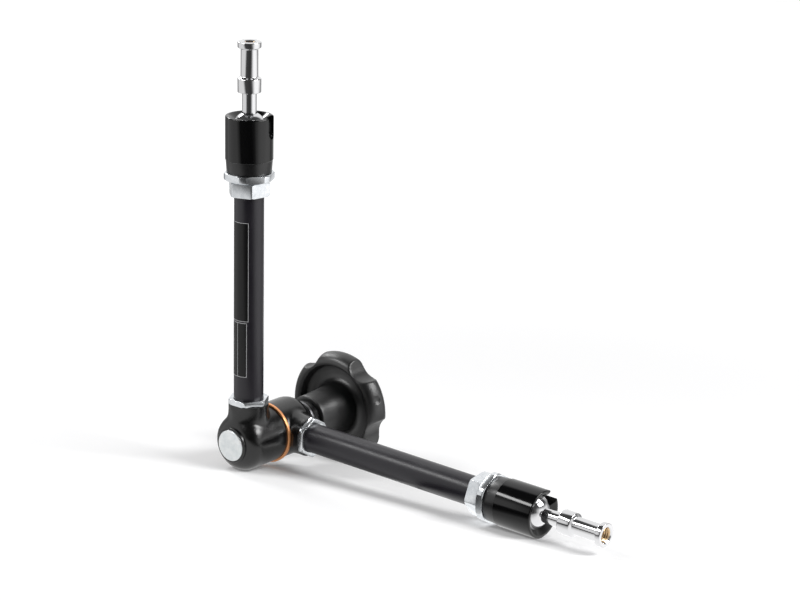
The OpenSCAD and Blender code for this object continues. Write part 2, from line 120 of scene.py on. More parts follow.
# %% [markdown]
# A material in Blender is a small graph of nodes that ends in a shader. A few helpers keep those graphs
# readable. The last of them tells a ray that is seen, directly or in a mirror, from a ray that only
# brings light. With it a surface can look whiter than the light that it gives.

# %% Helpers for materials
def start_material(name):
    material = bpy.data.materials.new(name)
    material.use_nodes = True
    tree = material.node_tree
    return material, tree, tree.nodes["Principled BSDF"]


def add_node(tree, kind, **settings):
    node = tree.nodes.new(kind)
    for name, value in settings.items():
        setattr(node, name, value)
    return node


def object_place(tree):
    return add_node(tree, "ShaderNodeTexCoord").outputs["Object"]


def calculate(tree, operation, first, second):
    node = add_node(tree, "ShaderNodeMath", operation=operation)
    tree.links.new(first, node.inputs[0])
    tree.links.new(second, node.inputs[1])
    return node.outputs[0]


def map_range(tree, value, start, end, low=0.0, high=1.0, kind="LINEAR"):
    """Carries a value from the span between start and end to the span between low and high."""
    node = add_node(tree, "ShaderNodeMapRange", interpolation_type=kind)
    for label, number in (("From Min", start), ("From Max", end), ("To Min", low), ("To Max", high)):
        node.inputs[label].default_value = number
    tree.links.new(value, node.inputs["Value"])
    return node


def seen_or_mirrored(tree):
    path = add_node(tree, "ShaderNodeLightPath")
    return calculate(tree, "MAXIMUM", path.outputs["Is Camera Ray"], path.outputs["Is Glossy Ray"])


print("material helpers ready")

# %% [markdown]
# In the photo the floor melts into a white background, and only a soft grey shadow stays round the
# elbow. A floor lit brightly enough to be white would lose that shadow. So this one is pale and matt, and
# it glows by itself, faintly near the arm and strongly far off. The surroundings give little light, but
# look fully white to the camera and in mirrors.

# %% Floor and surroundings
AIM = ELBOW + Vector((0.06, 0, 0.06))
FLOOR_SIZE = 40
GLOW_START = 0.35
GLOW_END = 2.2
GLOW_NEAR = 0.12
GLOW_FAR = 0.82
WORLD_LIGHT = 0.30


def stage_object(name, bm, material):
    mesh = bpy.data.meshes.new(name)
    bm.to_mesh(mesh)
    bm.free()
    mesh.materials.append(material)
    item = bpy.data.objects.new(name, mesh)
    bpy.context.scene.collection.objects.link(item)
    return item


def make_floor():
    bm = bmesh.new()
    bmesh.ops.create_grid(bm, x_segments=1, y_segments=1, size=FLOOR_SIZE / 2)
    material, tree, shader = start_material("floor_white")
    shader.inputs["Base Color"].default_value = (0.90, 0.90, 0.905, 1)
    shader.inputs["Roughness"].default_value = 0.9
    shader.inputs["Specular IOR Level"].default_value = 0.0
    shader.inputs["Emission Color"].default_value = (1, 1, 1, 1)
    away = add_node(tree, "ShaderNodeVectorMath", operation="DISTANCE")
    away.inputs[1].default_value = (AIM.x, AIM.y, 0)
    tree.links.new(object_place(tree), away.inputs[0])
    spread = map_range(
        tree, away.outputs["Value"], GLOW_START, GLOW_END, GLOW_NEAR, GLOW_FAR, kind="SMOOTHSTEP"
    )
    glow = calculate(tree, "MULTIPLY", seen_or_mirrored(tree), spread.outputs["Result"])
    tree.links.new(glow, shader.inputs["Emission Strength"])
    stage_object("floor", bm, material)


def light_surroundings():
    world = bpy.data.worlds.new("white_studio")
    bpy.context.scene.world = world
    world.use_nodes = True
    tree = world.node_tree
    tree.nodes.clear()
    strength = map_range(tree, seen_or_mirrored(tree), 0, 1, WORLD_LIGHT, 1.0)
    glow = add_node(tree, "ShaderNodeBackground")
    glow.inputs["Color"].default_value = (1, 1, 1, 1)
    out = add_node(tree, "ShaderNodeOutputWorld")
    tree.links.new(strength.outputs["Result"], glow.inputs["Strength"])
    tree.links.new(glow.outputs[0], out.inputs["Surface"])


make_floor()
light_surroundings()
print("floor", FLOOR_SIZE, "m wide, glowing", GLOW_NEAR, "near and", GLOW_FAR, "far")

# %% [markdown]
# Chrome and gloss show whatever stands round them, so a photographer shapes the surroundings with cards
# and cloth. Here a round tent stands over the set. Low down it is white with soft dark stretches: one
# towards the camera, for the dark centre of upright chrome, and one on each far side, for its dark edges.
# High up its front is dark, so that black pieces stay black there. Only reflections see the tent, and it
# throws no shadow. Each tone stands at an azimuth, in degrees to the right of the camera.

# %% Tent for reflections
TENT_R = 2.4
TENT_FLOOR = 0.0005
LOW_TONES = [
    (-180, 1.0), (-160, 1.0), (-148, 0.35), (-126, 0.35), (-114, 0.85), (-64, 0.85), (-54, 0.45),
    (-46, 0.06), (8, 0.04), (22, 0.12), (36, 0.6), (50, 1.1), (62, 1.25), (92, 1.25), (112, 0.95),
    (126, 0.35), (148, 0.35), (160, 1.0), (180, 1.0),
]
HIGH_TONES = [(-180, 1.0), (-150, 1.0), (-120, 0.06), (120, 0.06), (150, 1.0), (180, 1.0)]
HIGH_START = math.radians(14)
HIGH_END = math.radians(34)
TO_CAMERA = Matrix.Rotation(CAMERA_TURN, 4, "Z") @ Vector((0, -1, 0))
TO_RIGHT = Matrix.Rotation(CAMERA_TURN, 4, "Z") @ Vector((1, 0, 0))


def measure(tree, place, operation, direction=None):
    node = add_node(tree, "ShaderNodeVectorMath", operation=operation)
    tree.links.new(place, node.inputs[0])
    if direction:
        node.inputs[1].default_value = direction
    return node.outputs["Value"]


def tone_ramp(tree, share, stops):
    ramp = add_node(tree, "ShaderNodeValToRGB")
    tones = ramp.color_ramp
    tones.interpolation = "EASE"
    tones.elements.remove(tones.elements[1])
    for count, (azimuth, tone) in enumerate(stops):
        position = (azimuth + 180) / 360
        mark = tones.elements[0] if count == 0 else tones.elements.new(position)
        mark.position = position
        mark.color = (tone, tone, tone, 1)
    tree.links.new(share, ramp.inputs["Fac"])
    return ramp.outputs["Color"]


def make_tent_finish():
    material, tree, shader = start_material("tent_tones")
    shader.inputs["Base Color"].default_value = (0, 0, 0, 1)
    shader.inputs["Specular IOR Level"].default_value = 0.0
    shader.inputs["Emission Strength"].default_value = 1.0
    place = object_place(tree)
    sideways = measure(tree, place, "DOT_PRODUCT", TO_RIGHT)
    forwards = measure(tree, place, "DOT_PRODUCT", TO_CAMERA)
    share = map_range(tree, calculate(tree, "ARCTAN2", sideways, forwards), -math.pi, math.pi)
    height = measure(tree, place, "DOT_PRODUCT", (0, 0, 1))
    rise = calculate(tree, "DIVIDE", height, measure(tree, place, "LENGTH"))
    upper = map_range(tree, rise, math.sin(HIGH_START), math.sin(HIGH_END), kind="SMOOTHSTEP")
    mix = add_node(tree, "ShaderNodeMix", data_type="RGBA")
    tree.links.new(upper.outputs["Result"], mix.inputs["Factor"])
    tree.links.new(tone_ramp(tree, share.outputs["Result"], LOW_TONES), mix.inputs["A"])
    tree.links.new(tone_ramp(tree, share.outputs["Result"], HIGH_TONES), mix.inputs["B"])
    tree.links.new(mix.outputs["Result"], shader.inputs["Emission Color"])
    return material


def make_tent():
    bm = bmesh.new()
    bmesh.ops.create_uvsphere(bm, u_segments=96, v_segments=48, radius=TENT_R)
    bmesh.ops.bisect_plane(
        bm, geom=bm.verts[:] + bm.edges[:] + bm.faces[:], dist=1e-6, plane_co=(0, 0, TENT_FLOOR),
        plane_no=(0, 0, 1), clear_inner=True, clear_outer=False,
    )
    bmesh.ops.create_circle(
        bm, cap_ends=True, segments=96, radius=TENT_R, matrix=Matrix.Translation((0, 0, TENT_FLOOR))
    )
    bm.transform(Matrix.Translation((ELBOW.x, ELBOW.y, 0)))
    tent = stage_object("tent", bm, make_tent_finish())
    tent.visible_camera = False
    tent.visible_diffuse = False
    tent.visible_shadow = False
    tent.visible_transmission = False


make_tent()
print("tent", TENT_R, "m in radius, with", len(LOW_TONES), "tones low and", len(HIGH_TONES), "high")

# %% [markdown]
# Three soft lamps draw the bright lines on the black parts and throw the shadow: a strong one to the
# right of the camera, a long one to the left, and a weak one from behind that lights the upper edges.
# Each is placed as a photographer would say it: so far round, so far up, aimed at the elbow.

# %% Lamps
LAMP_DISTANCE = 1.7
LAMPS = {
    "right_lamp": {"azimuth": 70, "rise": 40, "size": (1.0, 0.5), "watts": 19},
    "left_lamp": {"azimuth": -72, "rise": 37, "size": (1.1, 0.30), "watts": 11},
    "back_lamp": {"azimuth": -139, "rise": 40, "size": (0.5, 0.26), "watts": 7},
}


def beside_camera(azimuth, rise):
    """A place seen from the aim: degrees to the right of the camera, and degrees up."""
    turn = CAMERA_TURN + math.radians(azimuth)
    flat = math.cos(math.radians(rise))
    away = Vector((math.sin(turn) * flat, -math.cos(turn) * flat, math.sin(math.radians(rise))))
    return AIM + away * LAMP_DISTANCE


def make_lamp(name, azimuth, rise, size, watts):
    data = bpy.data.lights.new(name, "AREA")
    data.shape = "RECTANGLE"
    data.size, data.size_y = size
    data.energy = watts
    lamp = bpy.data.objects.new(name, data)
    bpy.context.scene.collection.objects.link(lamp)
    place = beside_camera(azimuth, rise)
    turn = (place - AIM).to_track_quat("Z", "Y").to_matrix().to_4x4()
    lamp.matrix_world = Matrix.Translation(place) @ turn


for name, lamp in LAMPS.items():
    make_lamp(name, **lamp)
print("lamps:", ", ".join(LAMPS))

# %% [markdown]
# Grain and smudges are wanted by several finishes, so each is a node group, built once and placed with
# its own values. Both read Object coordinates, which are metres in the shared frame, so a scale of 1000
# means one wave in a millimetre.

# %% Shared effects as node groups
def start_group(name, numbers, output, kind):
    group = bpy.data.node_groups.new(name, "ShaderNodeTree")
    for label, value in numbers.items():
        socket = group.interface.new_socket(label, in_out="INPUT", socket_type="NodeSocketFloat")
        socket.default_value = value
    group.interface.new_socket(output, in_out="OUTPUT", socket_type=kind)
    return group, add_node(group, "NodeGroupInput"), add_node(group, "NodeGroupOutput")


def make_grain_group():
    numbers = {"Scale": 1500.0, "Depth": 0.3}
    group, given, out = start_group("fine_grain", numbers, "Normal", "NodeSocketVector")
    pits = add_node(group, "ShaderNodeTexVoronoi", feature="SMOOTH_F1")
    pits.inputs["Smoothness"].default_value = 0.6
    cloud = add_node(group, "ShaderNodeTexNoise")
    cloud.inputs["Detail"].default_value = 3
    place = object_place(group)
    for texture in (pits, cloud):
        group.links.new(place, texture.inputs["Vector"])
        group.links.new(given.outputs["Scale"], texture.inputs["Scale"])
    bump = add_node(group, "ShaderNodeBump")
    bump.inputs["Distance"].default_value = 0.0001
    height = calculate(group, "ADD", pits.outputs["Distance"], cloud.outputs["Fac"])
    group.links.new(height, bump.inputs["Height"])
    group.links.new(given.outputs["Depth"], bump.inputs["Strength"])
    group.links.new(bump.outputs["Normal"], out.inputs["Normal"])
    return group


def make_smudge_group():
    numbers = {"Scale": 60.0, "Low": 0.3, "High": 0.4}
    group, given, out = start_group("soft_smudges", numbers, "Value", "NodeSocketFloat")
    cloud = add_node(group, "ShaderNodeTexNoise")
    cloud.inputs["Detail"].default_value = 5
    cloud.inputs["Roughness"].default_value = 0.6
    group.links.new(object_place(group), cloud.inputs["Vector"])
    group.links.new(given.outputs["Scale"], cloud.inputs["Scale"])
    spread = map_range(group, cloud.outputs["Fac"], 0.35, 0.65)
    group.links.new(given.outputs["Low"], spread.inputs["To Min"])
    group.links.new(given.outputs["High"], spread.inputs["To Max"])
    group.links.new(spread.outputs["Result"], out.inputs["Value"])
    return group


GRAIN = make_grain_group()
SMUDGE = make_smudge_group()
print("effects:", GRAIN.name, SMUDGE.name)

# %% [markdown]
# A finish is a shader with one or more of these effects on it. Smudges vary the roughness, a tint varies
# the colour in the same soft way, and grain is a fine bump. One helper takes them all, so each finish
# below is a single call that reads like a recipe.

# %% Helpers for finishes
def place_group(tree, group, **values):
    node = add_node(tree, "ShaderNodeGroup", node_tree=group)
    for label, value in values.items():
        node.inputs[label].default_value = value
    return node


def add_smudges(tree, shader, scale, low, high):
    smudge = place_group(tree, SMUDGE, Scale=scale, Low=low, High=high)
    tree.links.new(smudge.outputs["Value"], shader.inputs["Roughness"])


def add_tint(tree, shader, scale, dark, light):
    smudge = place_group(tree, SMUDGE, Scale=scale, Low=0.0, High=1.0)
    mix = add_node(tree, "ShaderNodeMix", data_type="RGBA")
    mix.inputs["A"].default_value = (*dark, 1)
    mix.inputs["B"].default_value = (*light, 1)
    tree.links.new(smudge.outputs["Value"], mix.inputs["Factor"])
    tree.links.new(mix.outputs["Result"], shader.inputs["Base Color"])


def add_grain(tree, shader, scale, depth):
    grain = place_group(tree, GRAIN, Scale=scale, Depth=depth)
    tree.links.new(grain.outputs["Normal"], shader.inputs["Normal"])


def make_finish(name, smudges, colour=None, specular=0.5, metallic=0.0, tint=None, grain=None):
    """smudges is (scale, low, high), tint is (scale, dark, light) and grain is (scale, depth)."""
    material, tree, shader = start_material(name)
    shader.inputs["Metallic"].default_value = metallic
    shader.inputs["Specular IOR Level"].default_value = specular
    if colour:
        shader.inputs["Base Color"].default_value = (*colour, 1)
    add_smudges(tree, shader, *smudges)
    if tint:
        add_tint(tree, shader, *tint)
    if grain:
        add_grain(tree, shader, *grain)
    return material


print("finish helpers ready")

# %% [markdown]
# Black is not one finish here. The tubes are anodised to a satin charcoal with a hint of purple, the
# elbow castings have a fine satin coat, and the caps are glossy above a duller foot. The knob is moulded
# plastic with a visible grain and a broad sheen. The colours themselves are almost pure black, since in a
# white studio nearly all that a black surface shows is its reflections.

# %% Black finishes
TUBE_BLACK = make_finish(
    "anodised_charcoal", smudges=(90, 0.31, 0.37), specular=0.52, grain=(4000, 0.08),
    tint=(45, (0.0088, 0.0072, 0.0118), (0.0110, 0.0092, 0.0145)),
)
CASTING_BLACK = make_finish(
    "cast_satin_black", smudges=(150, 0.21, 0.27), specular=0.68, grain=(2600, 0.11),
    tint=(120, (0.0012, 0.0012, 0.0014), (0.0026, 0.0025, 0.0026)),
)
CAP_BLACK = make_finish(
    "gloss_black_enamel", smudges=(70, 0.09, 0.13), colour=(0.0010, 0.0010, 0.0012), specular=0.50
)
CAP_FOOT = make_finish(
    "cap_foot_satin", smudges=(160, 0.28, 0.36), colour=(0.006, 0.006, 0.0065), specular=0.60
)
KNOB_BLACK = make_finish(
    "moulded_black_plastic", smudges=(110, 0.36, 0.44), specular=0.92, grain=(1700, 0.34),
    tint=(160, (0.0012, 0.0012, 0.0014), (0.0028, 0.0028, 0.0030)),
)
SLEEVE_BLACK = make_finish(
    "sleeve_satin_black", smudges=(140, 0.22, 0.30), colour=(0.004, 0.004, 0.0045), specular=0.3
)
print("black finishes:", TUBE_BLACK.name, CASTING_BLACK.name, CAP_BLACK.name, KNOB_BLACK.name)

# %% [markdown]
# The metals differ mostly in roughness: polished chrome on the studs, bright plate on the nuts, a satin
# plated bolt head, copper on the friction ring and bare brass in the threads. Small smudges in the
# roughness keep a large reflection from looking like a mirror cut out of paper.

# %% Metal finishes
def make_metal(name, colour, rough, tint=None, grain=None):
    return make_finish(name, (120, *rough), colour=colour, metallic=1.0, tint=tint, grain=grain)


CHROME = make_metal("polished_chrome", (0.74, 0.74, 0.75), (0.09, 0.14))
BRIGHT_PLATE = make_metal(
    "bright_zinc_plate", (0.80, 0.82, 0.84), (0.20, 0.28),
    tint=(200, (0.66, 0.69, 0.72), (0.84, 0.86, 0.88)),
)
BOLT_SATIN = make_metal(
    "satin_zinc", (0.84, 0.86, 0.87), (0.34, 0.46),
    tint=(170, (0.74, 0.78, 0.79), (0.90, 0.92, 0.92)), grain=(700, 0.10),
)
COPPER = make_metal("turned_copper", (0.98, 0.46, 0.21), (0.36, 0.46))
DULL_STEEL = make_metal("dull_ring_steel", (0.22, 0.22, 0.23), (0.26, 0.36))
BRASS = make_metal("bare_brass", (0.62, 0.45, 0.26), (0.20, 0.32))
STEEL = make_metal("drawn_steel", (0.56, 0.56, 0.58), (0.24, 0.34))
METALS = (CHROME, BRIGHT_PLATE, BOLT_SATIN, COPPER, DULL_STEEL, BRASS, STEEL)
print("metals:", ", ".join(metal.name for metal in METALS))

# %% [markdown]
# Every piece ends the same way: its mesh becomes an object with a finish, rides on the body that it
# moves with, and stands for the CAD node that it dresses. Turned parts start as half an outline, whose
# corners get their small radii while it is still a line, and a full spin then makes the solid.

# %% Helpers for meshes
BODY_OF = {
    node: body for body, group in frame["record"]["behaviour"]["bodies"].items() for node in group
}


def finish_piece(bm, name, node, *materials, smooth_angle=32):
    bmesh.ops.recalc_face_normals(bm, faces=bm.faces)
    mesh = bpy.data.meshes.new(name)
    bm.to_mesh(mesh)
    bm.free()
    for material in materials:
        mesh.materials.append(material)
    mesh.shade_smooth()
    mesh.set_sharp_from_angle(angle=math.radians(smooth_angle))
    piece = bpy.data.objects.new(name, mesh)
    bpy.context.scene.collection.objects.link(piece)
    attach(piece, BODY_OF[node])
    return piece


def dress(bm, name, node, *materials, smooth_angle=32):
    """Makes a piece, shows it in place of its CAD node and prints how fine it is."""
    piece = finish_piece(bm, name, node, *materials, smooth_angle=smooth_angle)
    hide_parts(node)
    print(piece.name, len(piece.data.polygons), "faces")


def turned(outline, steps=96, closed=False):
    """A solid of revolution round Z. The outline is a list of (radius, reach, corner radius)."""
    bm = bmesh.new()
    corners = [bm.verts.new((radius * MM, 0, reach * MM)) for radius, reach, _ in outline]
    for start, end in zip(corners, corners[1:]):
        bm.edges.new((start, end))
    if closed:
        bm.edges.new((corners[-1], corners[0]))
    for size in sorted({corner for _, _, corner in outline if corner}):
        picked = [vert for vert, (_, _, corner) in zip(corners, outline) if corner == size]
        bmesh.ops.bevel(
            bm, geom=picked, offset=size * MM, offset_type="OFFSET", segments=3 + int(size),
            profile=0.5, affect="VERTICES", clamp_overlap=True, material=-1,
        )
    bmesh.ops.spin(
        bm, geom=bm.verts[:] + bm.edges[:], cent=(0, 0, 0), axis=(0, 0, 1), angle=2 * math.pi,
        steps=steps, use_merge=True, use_duplicate=False,
    )
    bmesh.ops.remove_doubles(bm, verts=bm.verts, dist=1e-7)
    bmesh.ops.recalc_face_normals(bm, faces=bm.faces)
    return bm


def pin(radius, low, high, steps=64):
    return turned([(0, low, 0), (radius, low, 0), (radius, high, 0), (0, high, 0)], steps)


print("mesh helpers ready")

# %% [markdown]
# Joining, cutting and remeshing are done by modifiers. A modifier needs an object, so a mesh is put in a
# passing helper object, the result is read back, and the helper is removed. After a remesh the skin is
# relaxed: each vertex moves towards the middle of its neighbours, which rounds every edge.

# %% Boolean and remesh helpers
def helper_object(bm, name):
    mesh = bpy.data.meshes.new(name)
    bm.to_mesh(mesh)
    bm.free()
    helper = bpy.data.objects.new(name, mesh)
    bpy.context.scene.collection.objects.link(helper)
    return helper


def harvest(helper):
    graph = bpy.context.evaluated_depsgraph_get()
    result = bmesh.new()
    result.from_mesh(helper.evaluated_get(graph).to_mesh())
    return result


def discard(*helpers):
    for helper in helpers:
        mesh = helper.data
        bpy.data.objects.remove(helper)
        bpy.data.meshes.remove(mesh)


def combine(bm, tool, operation="DIFFERENCE"):
    base, other = helper_object(bm, "base"), helper_object(tool, "tool")
    modifier = base.modifiers.new("combine", "BOOLEAN")
    modifier.operation = operation
    modifier.solver = "EXACT"
    modifier.object = other
    result = harvest(base)
    discard(base, other)
    return result


def remesh(bm, voxel):
    base = helper_object(bm, "base")
    modifier = base.modifiers.new("remesh", "REMESH")
    modifier.mode = "VOXEL"
    modifier.voxel_size = voxel * MM
    result = harvest(base)
    discard(base)
    return result


def relax(bm, passes, keep=None):
    verts = [vert for vert in bm.verts if keep is None or keep(vert.co / MM)]
    for _ in range(passes):
        bmesh.ops.smooth_vert(
            bm, verts=verts, factor=0.5, use_axis_x=True, use_axis_y=True, use_axis_z=True
        )


def slice_off(bm, place, direction):
    """Cuts away what lies beyond a plane, in millimetres, and closes the cut."""
    cut = bmesh.ops.bisect_plane(
        bm, geom=bm.verts[:] + bm.edges[:] + bm.faces[:], dist=1e-8, plane_co=Vector(place) * MM,
        plane_no=direction, clear_outer=True, clear_inner=False,
    )
    edges = [item for item in cut["geom_cut"] if isinstance(item, bmesh.types.BMEdge)]
    bmesh.ops.holes_fill(bm, edges=edges, sides=0)
    bmesh.ops.recalc_face_normals(bm, faces=bm.faces)


print("boolean and remesh helpers ready")

# %% [markdown]
# The elbow castings are the hardest form. The neck of each flows into its barrel with no visible seam,
# as in a real sand or die casting. So barrel and neck are turned solids, joined and remeshed into one
# skin of small even faces, and the skin is relaxed, most where the two meet. The machined faces, the boss
# and the bores are made only afterwards, which leaves them crisp. The neck comes first: it widens to its
# foot along a hollow arc, and two cuts keep it within the end of the barrel.

# %% Neck of a housing
BARREL_R = 19.7
BARREL_ROUND = 10
NECK_R = 13.6
NECK_END = 26.4
NECK_FOOT = 2
SWEEP = 25
SWEEP_FOOT = 10
SWEEP_STEPS = 12
SWEEP_TOP = math.sqrt((BARREL_R + SWEEP - 0.5) ** 2 - (NECK_R + SWEEP) ** 2)
SPARE = 3


def neck_radius(reach):
    return NECK_R + SWEEP - math.sqrt(SWEEP**2 - (SWEEP_TOP - reach) ** 2)


def make_neck(end_wall):
    rise = SWEEP_TOP - SWEEP_FOOT
    heights = [SWEEP_FOOT + step * rise / SWEEP_STEPS for step in range(SWEEP_STEPS)]
    wall = [(neck_radius(reach), reach, 0) for reach in heights] + [(NECK_R, SWEEP_TOP, 0)]
    foot = wall[0][0]
    neck = turned([
        (0, NECK_FOOT, 0), (foot, NECK_FOOT, 0), *wall, (NECK_R, NECK_END + SPARE, 0),
        (0, NECK_END + SPARE, 0),
    ])
    slice_off(neck, (0, end_wall, 0), (0, 1, 0))
    lean = math.atan2(end_wall - NECK_R, SWEEP_TOP - 1 - (BARREL_R - 0.55 * BARREL_ROUND))
    slice_off(neck, (0, NECK_R, SWEEP_TOP - 1), (0, math.cos(lean), math.sin(lean)))
    return neck


print("necks sweep out from", round(SWEEP_TOP, 1), "mm down to", SWEEP_FOOT, "mm above the elbow axis")

# %% [markdown]
# Seen along the elbow axis, a housing has an inner end, which meets the other housing, and a rounded
# outer end with a low boss. The front one holds the bolt head, the rear one the thrust sleeve, and both
# hold a cone. The rear one also has a short spigot that registers in a recess of the front one. In its
# own frame, depths count from the middle of the barrel towards the outer end.

# %% Elbow housings
TUBE_R = 10
TUBE_START = 15
ROD_BORE_R = 5.1
INNER_A = 17.8
INNER_B = 12.8
BOSS_H = 1.5
HEAD_BORE_R = 11
SLEEVE_BORE_R = 12.6
CONE_BORE_R = 12.1
REGISTER_R = 15
REGISTER_START = 11.8
REGISTER_FRONT = 20.9


def make_housing(end, outer, inner, side, bores, boss_bore_r, boss_r, register=0):
    """side is 1 where the outer end of the barrel faces along the pivot, and -1 where it faces back."""
    to_axle = Matrix.Rotation(-side * math.pi / 2, 4, "X")
    barrel = turned([
        (0, -inner - SPARE, 0), (BARREL_R, -inner - SPARE, 0), (BARREL_R, outer, BARREL_ROUND),
        (0, outer, 0),
    ])
    barrel.transform(to_axle)
    neck = make_neck(outer - 1)
    if side < 0:
        bmesh.ops.scale(neck, vec=(1, -1, 1), verts=neck.verts)
        bmesh.ops.reverse_faces(neck, faces=neck.faces)
    skin = remesh(combine(barrel, neck, "UNION"), voxel=0.55)
    relax(skin, 30, keep=lambda place: 7 < place.z < 24.5 and side * place.y > -inner - 1)
    relax(skin, 6)
    slice_off(skin, (0, -side * inner, 0), (0, -side, 0))
    slice_off(skin, (0, 0, NECK_END), (0, 0, 1))

    def on_axle(solid, operation):
        solid.transform(to_axle)
        return combine(skin, solid, operation)

    ring_r = boss_bore_r - 1
    skin = on_axle(turned([
        (ring_r, outer - 0.5, 0), (boss_r, outer - 0.5, 0), (boss_r, outer + BOSS_H, 0.4),
        (ring_r, outer + BOSS_H, 0),
    ], closed=True), "UNION")
    if register:
        skin = on_axle(pin(REGISTER_R - 0.05, -register, -inner + 1), "UNION")
    for radius, low, high in bores:
        skin = on_axle(pin(radius, low, high), "DIFFERENCE")
    skin = combine(skin, pin(TUBE_R + 0.05, TUBE_START, NECK_END + 1))
    skin = combine(skin, pin(ROD_BORE_R, 0, TUBE_START + 1))
    skin.transform(ARM[end])
    dress(skin, f"housing_{end}_casting", "housing_" + end, CASTING_BLACK, smooth_angle=38)


make_housing(
    "a", outer=16, inner=INNER_A, side=-1, boss_bore_r=HEAD_BORE_R, boss_r=12.2,
    bores=[(HEAD_BORE_R, 0, 19), (CONE_BORE_R, -19, 10.67), (REGISTER_R, -19, -REGISTER_START)],
)
make_housing(
    "b", outer=17, inner=INNER_B, side=1, boss_bore_r=SLEEVE_BORE_R, boss_r=13.5,
    bores=[(SLEEVE_BORE_R, 8.57, 20), (CONE_BORE_R, -22, 9.07)], register=REGISTER_FRONT,
)

# %% [markdown]
# The knob is moulded in one piece: a hub that swells into a deep dish, and a thick rim with five finger
# hollows. Its outline is turned first. The rim is an oval arc in two halves, since its front bulges more
# than its back.

# %% Outline of the knob
HUB_FACE = 59.8
KNOB_BACK = 102.4
RIM_LEN = 16.4
LOBE_R = 39
RIM_FRONT = KNOB_BACK - RIM_LEN
LOBE_DEPTH = KNOB_BACK - 0.42 * RIM_LEN
DISH_DEPTH = KNOB_BACK - 0.44 * RIM_LEN
DISH_R = LOBE_R - 9


def knob_outline():
    hub = [
        (0, HUB_FACE, 0), (15.3, HUB_FACE, 0.5), (15.6, HUB_FACE + 9.2, 0),
        (16.2, HUB_FACE + 18.5, 0), (17.6, DISH_DEPTH - 3, 0), (19.9, DISH_DEPTH - 0.7, 0),
        (22.3, DISH_DEPTH, 0),
    ]
    dish = [
        (DISH_R - 3, DISH_DEPTH, 0), (DISH_R - 0.8, DISH_DEPTH - 0.8, 0),
        (DISH_R, DISH_DEPTH - 1.8, 0), (DISH_R + 0.2, RIM_FRONT + 2.0, 0),
        (DISH_R + 0.7, RIM_FRONT + 1.3, 0), (DISH_R + 1.5, RIM_FRONT + 0.3, 0),
    ]
    rim = []
    for degrees in range(-90, 100, 10):
        turn = math.radians(degrees)
        inset = 6.5 if degrees < 0 else 6
        deep = LOBE_DEPTH - RIM_FRONT if degrees < 0 else KNOB_BACK - LOBE_DEPTH
        rim.append((LOBE_R - inset * (1 - math.cos(turn)), LOBE_DEPTH + deep * math.sin(turn), 0))
    return hub + dish + rim + [(0, KNOB_BACK, 0)]


print("knob outline of", len(knob_outline()), "corners")

# %% [markdown]
# The finger hollows are cut by five round pins. Then the knob too is remeshed and relaxed, which rounds
# every edge as a mould would. The bores for the bolt, its thread insert and the plug follow, and a large
# sphere leaves the small round mark on one lobe, where a pin pushed the knob out of its mould.

# %% Knob
LOBES = 5
HOLLOW_R = 12
HOLLOW_AXIS = LOBE_R - 6.25 + HOLLOW_R
HOLLOW_TURN = 53
MARK_TURN = -18
MARK_R = 7
KNOB_BORES = [
    (4.3, HUB_FACE - 1, KNOB_BACK + 1), (7, HUB_FACE + 6, HUB_FACE + 24),
    (12.3, KNOB_BACK - 2.4, KNOB_BACK + 1),
]


def turned_aside(bm, degrees, radius, depth=0):
    """Moves a tool out from the axis, and then round it."""
    turn = Matrix.Rotation(math.radians(degrees), 4, "Z")
    bm.transform(turn @ Matrix.Translation((radius * MM, 0, depth * MM)))
    return bm


def make_knob():
    body = turned(knob_outline(), steps=120)
    for count in range(LOBES):
        tool = pin(HOLLOW_R, RIM_FRONT - 3, KNOB_BACK + 3, steps=72)
        body = combine(body, turned_aside(tool, -HOLLOW_TURN - count * 360 / LOBES, HOLLOW_AXIS))
    body = remesh(body, voxel=0.7)
    relax(body, 7)
    for radius, low, high in KNOB_BORES:
        body = combine(body, pin(radius, low, high))
    mark = bmesh.new()
    bmesh.ops.create_uvsphere(mark, u_segments=48, v_segments=32, radius=MARK_R * MM)
    body = combine(body, turned_aside(mark, MARK_TURN, LOBE_R + 5.3, LOBE_DEPTH - 5))
    body.transform(AXLE)
    dress(body, "knob_moulding", "knob", KNOB_BLACK, smooth_angle=36)


make_knob()

# %% [markdown]
# A stud is one turning: ball, neck, collar, waist and end flange. The neck grows out of the ball, so the
# ball's arc starts where the two radii are equal. The hole in the end face is left in bare brass, because
# plating does not reach into a small hole.

# %% Outline of a stud
BALL_R = 12
STUD_NECK_R = 4.9
COLLAR = BALL_REACH + 25
WAIST = COLLAR + 10.5
FLANGE = WAIST + 19.5
TIP = FLANGE + 3.5
SPIGOT_R = 7.95
WAIST_R = 5.9


def stud_outline(bore_r, deep):
    start = math.asin(STUD_NECK_R / BALL_R)
    ball = []
    for step in range(25):
        turn = math.pi - (math.pi - start) * step / 24
        ball.append((BALL_R * math.sin(turn), BALL_REACH + BALL_R * math.cos(turn), 0))
    shank = [(STUD_NECK_R, COLLAR - 0.6, 0), (5.7, COLLAR, 0), (SPIGOT_R, COLLAR, 0.5),
             (SPIGOT_R, WAIST - 1.2, 0.5), (WAIST_R, WAIST, 0.3), (WAIST_R, FLANGE - 1.2, 0.3),
             (SPIGOT_R, FLANGE - 0.3, 0.4), (SPIGOT_R, TIP, 0.5)]
    hole = [(bore_r + 0.9, TIP, 0), (bore_r, TIP - 0.9, 0), (bore_r, TIP - deep, 0), (0, TIP - deep - 1, 0)]
    return ball + shank + hole


print("stud tips at", round(TIP, 1), "mm")

# %% [markdown]
# The thread is modelled, because the lower hole faces the camera. It is a triangle swept up a helix: a
# spin with a climb at each step. The upper stud takes a quarter inch screw and the lower one three
# eighths, so each has its own radii and pitch.

